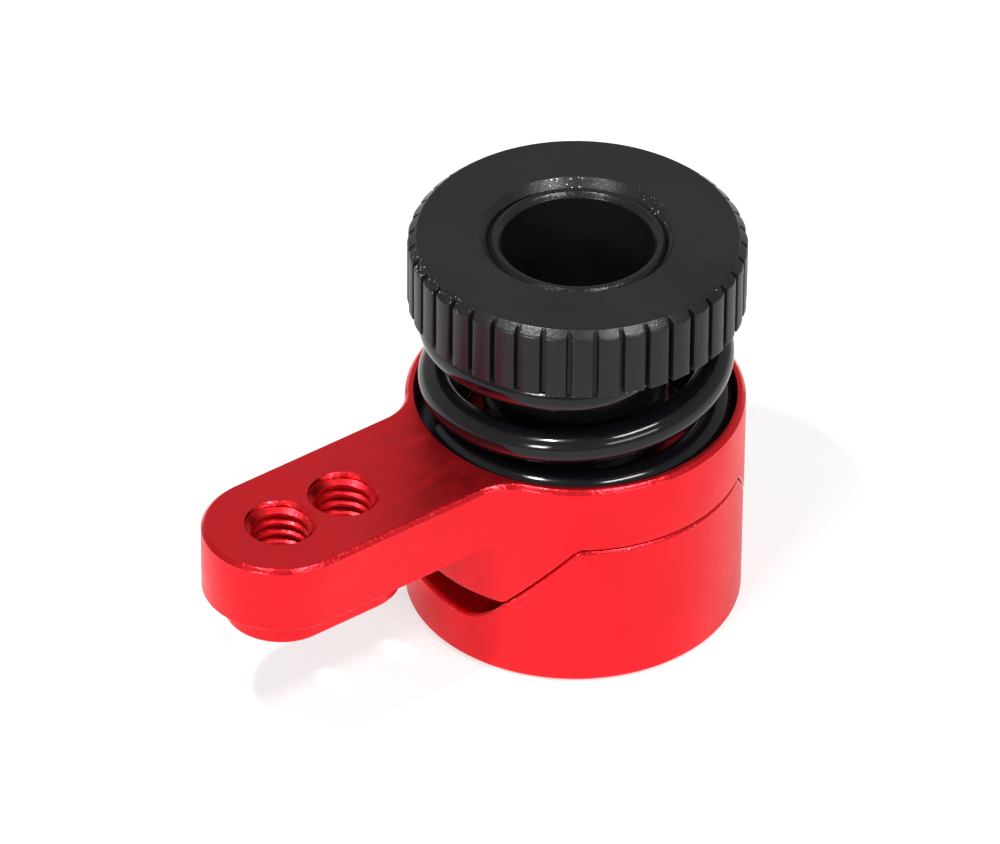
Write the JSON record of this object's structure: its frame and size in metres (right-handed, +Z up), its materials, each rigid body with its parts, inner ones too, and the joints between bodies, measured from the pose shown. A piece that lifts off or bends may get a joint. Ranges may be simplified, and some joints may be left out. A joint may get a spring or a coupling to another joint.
{
  "type": "servo saver",
  "caption": "Spring-loaded servo saver with a steering arm, V cam, coil spring and knurled adjuster nut, for a radio-controlled car's steering servo.",
  "frame": {"origin": "on the hub axis, at the hub's flat bottom face", "axes": "+Z up along the hub axis towards the adjuster nut, +X along the arm towards its tapped holes"},
  "size_m": [0.0361, 0.02, 0.0253],
  "materials": {
    "red_hub": "satin red anodised",
    "red_arm": "satin red anodised",
    "black_nut": "satin black anodised",
    "black_post": "black oxide, lightly oiled",
    "black_spring": "gloss black coating",
    "black_washer": "black oxide",
    "bronze_bush": "sintered bronze"
  },
  "bodies": {
    "hub": {"base_hub": "red_hub", "center_post": "black_post", "spring": "black_spring"},
    "spring_seat": {"seat_washer": "black_washer"},
    "arm": {"cam_arm": "red_arm", "arm_bush": "bronze_bush"},
    "top_seat": {"nut_washer": "black_washer"},
    "nut": {"adjuster_nut": "black_nut"}
  },
  "joints": [
    {"name": "arm_lift", "type": "slide", "parent": "hub", "child": "spring_seat", "axis": [0, 0, 1], "range_m": [0, 0.0018], "stiffness_N_per_m": 15000, "springref_m": -0.0001, "deforming": ["spring"]},
    {"name": "arm_turn", "type": "hinge", "parent": "spring_seat", "child": "arm", "pos_m": [0, 0, 0.012], "axis": [0, 0, 1], "range_deg": [0, 10.03]},
    {"name": "nut_travel", "type": "slide", "parent": "hub", "child": "top_seat", "axis": [0, 0, 1], "range_m": [-0.000375, 0.000375], "deforming": ["spring"]},
    {"name": "nut_turn", "type": "hinge", "parent": "top_seat", "child": "nut", "pos_m": [0, 0, 0.023], "axis": [0, 0, 1], "range_deg": [-180.5, 180.5]}
  ],
  "couplings": [
    {"joint": "arm_turn", "follows": "arm_lift", "rad_per_m": 96.963},
    {"joint": "nut_turn", "follows": "nut_travel", "rad_per_m": 8377.6}
  ]
}
